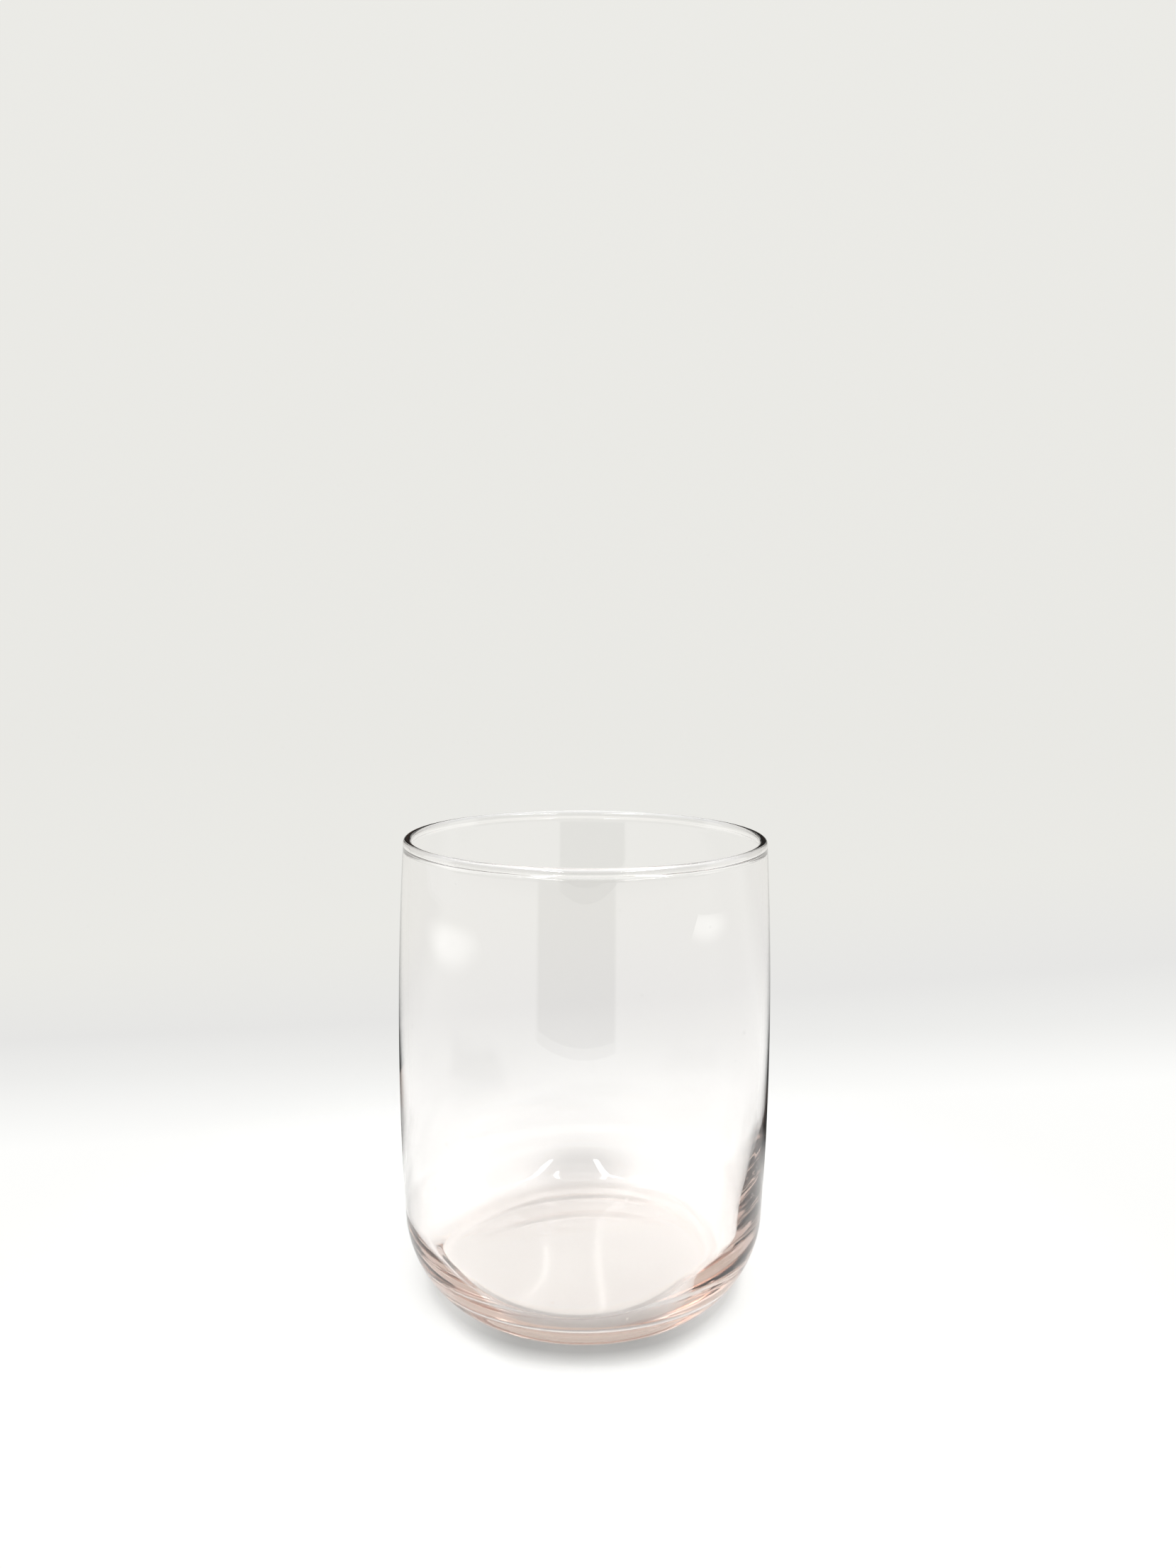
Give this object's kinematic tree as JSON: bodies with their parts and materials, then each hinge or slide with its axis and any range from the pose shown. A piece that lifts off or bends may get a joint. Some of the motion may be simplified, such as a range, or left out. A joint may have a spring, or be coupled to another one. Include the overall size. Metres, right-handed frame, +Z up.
{
  "type": "drinking tumbler",
  "caption": "Clear pale pink glass tumbler with a rounded rim bead, a slightly barrelled wall, a deep round heel and a nearly flat base.",
  "frame": {"origin": "centre of the standing ring, on the surface that the tumbler stands on", "axes": "+Z up along the tumbler's axis of revolution, from the base to the rim; X and Y are alike"},
  "size_m": [0.0818, 0.0818, 0.1],
  "materials": {
    "glass": "clear, fire polished, tinted pale pink in the mass"
  },
  "bodies": {
    "root": {"tumbler": "glass"}
  },
  "joints": []
}
